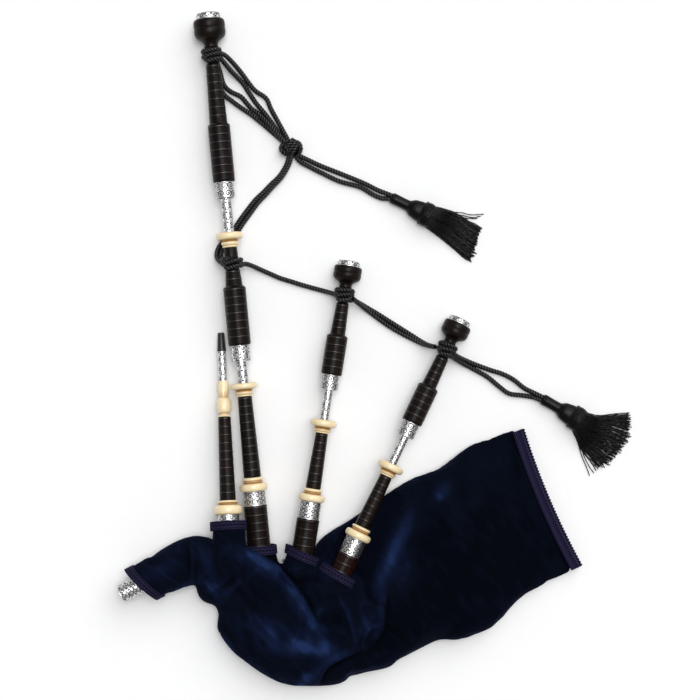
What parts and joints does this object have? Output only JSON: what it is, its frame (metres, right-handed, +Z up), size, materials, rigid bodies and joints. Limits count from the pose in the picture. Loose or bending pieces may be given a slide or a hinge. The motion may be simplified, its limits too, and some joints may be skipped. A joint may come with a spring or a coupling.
{
  "type": "bagpipes",
  "caption": "Bagpipes with a velvet covered bag, a bass and two tenor drones on tuning slides, blowpipe, open chanter stock, drone cords and tassels.",
  "frame": {"origin": "on the surface it lies on, below the middle of the instrument's box, cords left out", "axes": "+Y from the bag towards the bass drone's bell, +X from the chanter stock towards the bag's back edge, +Z up"},
  "size_m": [0.8334, 1.077, 0.0894],
  "materials": {
    "blackwood": "satin",
    "nickel": "engraved and polished",
    "imitation_ivory": "polished",
    "velvet": "pile",
    "braid": "woven",
    "cord": "braided",
    "leather": "matte",
    "cane": "matte",
    "black_plastic": "satin"
  },
  "bodies": {
    "root": {"bag_cover": "velvet", "inner_bag": "leather", "back_trim": "braid", "bass_stock": "blackwood", "bass_stock_ferrule": "nickel", "tenor_1_stock": "blackwood", "tenor_1_stock_ferrule": "nickel", "tenor_2_stock": "blackwood", "tenor_2_stock_ferrule": "nickel", "blowpipe_stock": "blackwood", "blowpipe_stock_ferrule": "nickel", "chanter_stock": "blackwood", "chanter_stock_ferrule": "nickel", "cord_span_1": "cord", "cord_span_2": "cord", "cord_tassel_2_strands": "cord", "tassel_2": "cord"},
    "bass_bottom": {"bass_bottom_joint": "blackwood", "bass_lower_mount": "imitation_ivory", "bass_upper_mount": "imitation_ivory", "bass_lower_slide": "nickel", "bass_reed": "cane"},
    "bass_middle": {"bass_middle_joint": "blackwood", "bass_middle_ferrule": "nickel", "bass_middle_mount": "imitation_ivory", "bass_upper_slide": "nickel", "cord_middle_tie": "cord", "cord_knot": "cord", "cord_upper_strands": "cord", "cord_lower_strands": "cord", "cord_tassel_1_strands": "cord", "tassel_1": "cord"},
    "bass_top": {"bass_top_joint": "blackwood", "bass_top_ferrule": "nickel", "bass_ring_cap": "nickel", "cord_bass_tie": "cord"},
    "blowpipe": {"blowpipe_stem": "blackwood", "blowpipe_lower_mount": "imitation_ivory", "blowpipe_bulb_mount": "imitation_ivory"},
    "mouthpiece": {"mouthpiece": "black_plastic", "mouthpiece_sleeve": "nickel"},
    "valve_flap": {"blowpipe_valve_flap": "leather"},
    "tenor_1_bottom": {"tenor_1_bottom_joint": "blackwood", "tenor_1_lower_mount": "imitation_ivory", "tenor_1_upper_mount": "imitation_ivory", "tenor_1_lower_slide": "nickel", "tenor_1_reed": "cane"},
    "tenor_1_top": {"tenor_1_top_joint": "blackwood", "tenor_1_top_ferrule": "nickel", "tenor_1_ring_cap": "nickel", "cord_tenor_1_tie": "cord"},
    "tenor_2_bottom": {"tenor_2_bottom_joint": "blackwood", "tenor_2_lower_mount": "imitation_ivory", "tenor_2_upper_mount": "imitation_ivory", "tenor_2_lower_slide": "nickel", "tenor_2_reed": "cane"},
    "tenor_2_top": {"tenor_2_top_joint": "blackwood", "tenor_2_top_ferrule": "nickel", "tenor_2_ring_cap": "nickel", "cord_tenor_2_tie": "cord"}
  },
  "joints": [
    {"name": "bass_bottom_turn", "type": "hinge", "parent": "root", "child": "bass_bottom", "pos_m": [-0.1438, -0.3048, 0.033], "axis": [-0.0958, 0.9954, -0.0083], "continuous": true},
    {"name": "bass_middle_tuning", "type": "slide", "parent": "root", "child": "bass_middle", "axis": [-0.0958, 0.9954, -0.0083], "range_m": [-0.0337, 0.025]},
    {"name": "bass_top_tuning", "type": "slide", "parent": "bass_middle", "child": "bass_top", "axis": [-0.0958, 0.9954, -0.0083], "range_m": [-0.0545, 0.025]},
    {"name": "tenor_1_bottom_turn", "type": "hinge", "parent": "root", "child": "tenor_1_bottom", "pos_m": [-0.072, -0.3192, 0.042], "axis": [0.1573, 0.9866, -0.0422], "continuous": true},
    {"name": "tenor_1_tuning", "type": "slide", "parent": "root", "child": "tenor_1_top", "axis": [0.1573, 0.9866, -0.0422], "range_m": [-0.0477, 0.02]},
    {"name": "tenor_2_bottom_turn", "type": "hinge", "parent": "root", "child": "tenor_2_bottom", "pos_m": [-0.021, -0.3707, 0.0586], "axis": [0.4307, 0.899, -0.0794], "continuous": true},
    {"name": "tenor_2_tuning", "type": "slide", "parent": "root", "child": "tenor_2_top", "axis": [0.4307, 0.899, -0.0794], "range_m": [-0.0477, 0.02]},
    {"name": "blowpipe_turn", "type": "hinge", "parent": "root", "child": "blowpipe", "pos_m": [-0.1904, -0.2712, 0.051], "axis": [-0.0501, 0.9882, -0.145], "continuous": true},
    {"name": "mouthpiece_pull", "type": "slide", "parent": "blowpipe", "child": "mouthpiece", "axis": [-0.0501, 0.9882, -0.145], "range_m": [0, 0.015]},
    {"name": "valve_swing", "type": "hinge", "parent": "blowpipe", "child": "valve_flap", "pos_m": [-0.18946, -0.29696, 0.06204], "axis": [-0.9971, -0.0579, -0.0501], "range_deg": [0, 55]}
  ]
}
